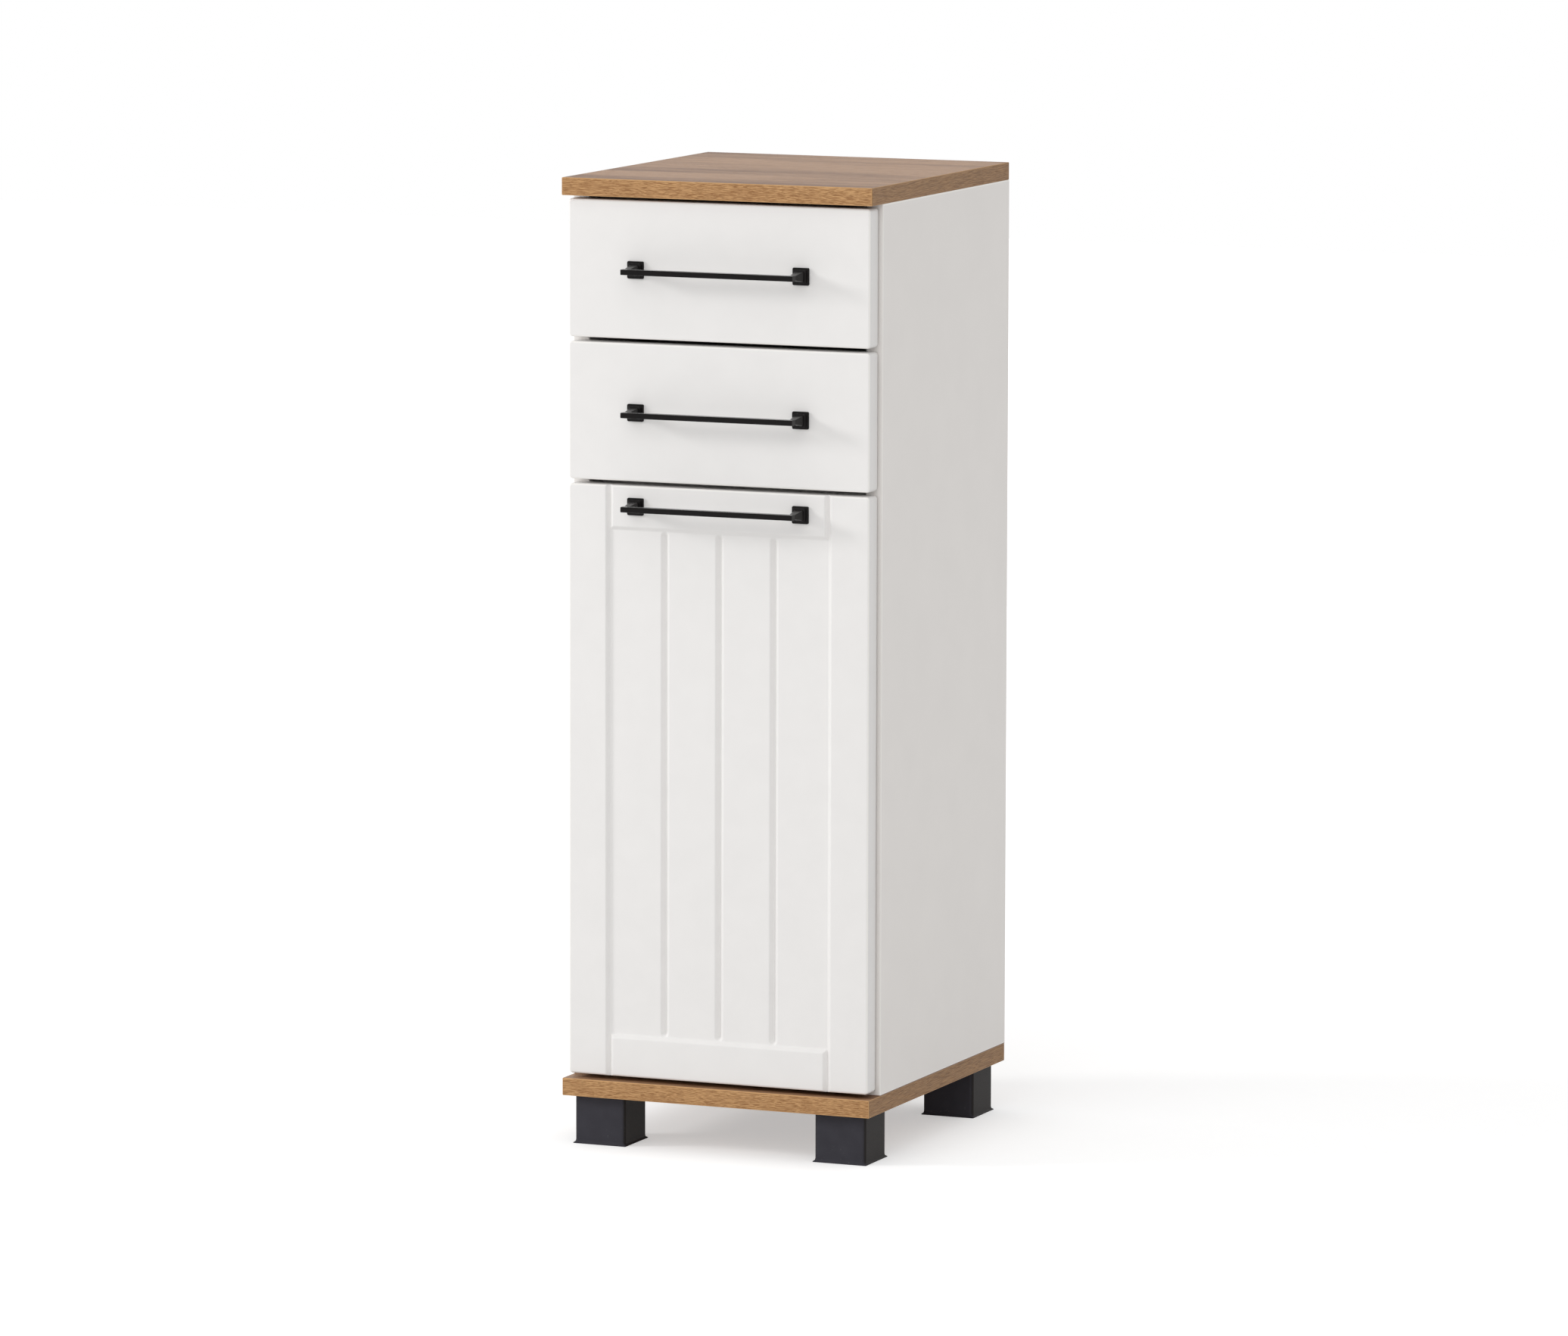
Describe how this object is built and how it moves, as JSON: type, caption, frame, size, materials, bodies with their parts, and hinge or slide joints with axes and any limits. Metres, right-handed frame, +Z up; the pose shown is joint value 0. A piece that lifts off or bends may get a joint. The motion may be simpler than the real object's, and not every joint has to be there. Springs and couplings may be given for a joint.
{
  "type": "bathroom base cabinet",
  "caption": "Narrow base cabinet with two drawers above a side-hung grooved door, oak-effect top and bottom boards, square handles and four feet.",
  "frame": {"origin": "on the floor, under the middle of the whole cabinet with its handles", "axes": "+X to the right seen from the front, +Y from the fronts to the back, +Z up"},
  "size_m": [0.3, 0.352, 0.877],
  "materials": {
    "oak_board": "oak-effect faced board, satin",
    "white_front": "white foil-wrapped board, satin",
    "white_board": "white melamine-faced chipboard, matt",
    "drawer_board": "white melamine-faced chipboard, matt",
    "white_hardboard": "white-painted hardboard, matt",
    "black_handle": "black powder coat, satin",
    "black_foot": "black moulded plastic, satin",
    "zinc_steel": "bright zinc plate",
    "zinc_screws": "bright zinc plate",
    "hinge_steel": "nickel plate",
    "cam_zinc": "die-cast zinc, raw",
    "beech_dowel": "raw beech",
    "white_catch": "white moulded plastic",
    "clear_bumper": "clear soft plastic"
  },
  "bodies": {
    "cabinet": {"top_panel": "oak_board", "bottom_panel": "oak_board", "side_panel_left": "white_board", "side_panel_right": "white_board", "divider_shelf": "white_board", "back_panel": "white_hardboard", "shelf": "white_board", "shelf_pins": "zinc_steel", "cam_locks": "cam_zinc", "cam_bolts": "zinc_steel", "joint_dowels": "beech_dowel", "foot_front_left": "black_foot", "foot_front_right": "black_foot", "foot_back_left": "black_foot", "foot_back_right": "black_foot", "foot_screws": "zinc_screws", "slide_rail_upper_left": "zinc_steel", "slide_rail_upper_right": "zinc_steel", "slide_rail_lower_left": "zinc_steel", "slide_rail_lower_right": "zinc_steel", "hinge_frame_leaf_upper": "hinge_steel", "hinge_frame_leaf_lower": "hinge_steel", "hinge_pins": "hinge_steel", "magnetic_catch": "white_catch", "wall_bracket": "zinc_steel", "carcass_screws": "zinc_screws"},
    "drawer_upper": {"drawer_front_upper": "white_front", "drawer_side_upper_left": "drawer_board", "drawer_side_upper_right": "drawer_board", "drawer_back_upper": "drawer_board", "drawer_base_upper": "white_hardboard", "handle_upper": "black_handle", "handle_screws_upper": "zinc_screws", "bumpers_upper": "clear_bumper", "slide_runner_upper_left": "zinc_steel", "slide_runner_upper_right": "zinc_steel", "runner_screws_upper": "zinc_screws"},
    "drawer_lower": {"drawer_front_lower": "white_front", "drawer_side_lower_left": "drawer_board", "drawer_side_lower_right": "drawer_board", "drawer_back_lower": "drawer_board", "drawer_base_lower": "white_hardboard", "handle_lower": "black_handle", "handle_screws_lower": "zinc_screws", "bumpers_lower": "clear_bumper", "slide_runner_lower_left": "zinc_steel", "slide_runner_lower_right": "zinc_steel", "runner_screws_lower": "zinc_screws"},
    "middle_upper_left": {"slide_middle_upper_left": "zinc_steel"},
    "middle_upper_right": {"slide_middle_upper_right": "zinc_steel"},
    "middle_lower_left": {"slide_middle_lower_left": "zinc_steel"},
    "middle_lower_right": {"slide_middle_lower_right": "zinc_steel"},
    "door_leaf": {"door": "white_front", "handle_door": "black_handle", "handle_screws_door": "zinc_screws", "bumpers_door": "clear_bumper", "hinge_door_leaf_upper": "hinge_steel", "hinge_door_leaf_lower": "hinge_steel", "strike_plate": "zinc_steel", "door_screws": "zinc_screws"}
  },
  "joints": [
    {"name": "upper_drawer_slide", "type": "slide", "parent": "cabinet", "child": "drawer_upper", "axis": [0, -1, 0], "range_m": [0, 0.25]},
    {"name": "lower_drawer_slide", "type": "slide", "parent": "cabinet", "child": "drawer_lower", "axis": [0, -1, 0], "range_m": [0, 0.25]},
    {"name": "upper_left_middle_slide", "type": "slide", "parent": "cabinet", "child": "middle_upper_left", "axis": [0, -1, 0], "range_m": [0, 0.125]},
    {"name": "upper_right_middle_slide", "type": "slide", "parent": "cabinet", "child": "middle_upper_right", "axis": [0, -1, 0], "range_m": [0, 0.125]},
    {"name": "lower_left_middle_slide", "type": "slide", "parent": "cabinet", "child": "middle_lower_left", "axis": [0, -1, 0], "range_m": [0, 0.125]},
    {"name": "lower_right_middle_slide", "type": "slide", "parent": "cabinet", "child": "middle_lower_right", "axis": [0, -1, 0], "range_m": [0, 0.125]},
    {"name": "door_hinge", "type": "hinge", "parent": "cabinet", "child": "door_leaf", "pos_m": [-0.1476, -0.1304, 0.3335], "axis": [0, 0, -1], "range_deg": [0, 110]}
  ],
  "couplings": [
    {"joint": "upper_left_middle_slide", "follows": "upper_drawer_slide", "ratio": 0.5},
    {"joint": "upper_right_middle_slide", "follows": "upper_drawer_slide", "ratio": 0.5},
    {"joint": "lower_left_middle_slide", "follows": "lower_drawer_slide", "ratio": 0.5},
    {"joint": "lower_right_middle_slide", "follows": "lower_drawer_slide", "ratio": 0.5}
  ]
}
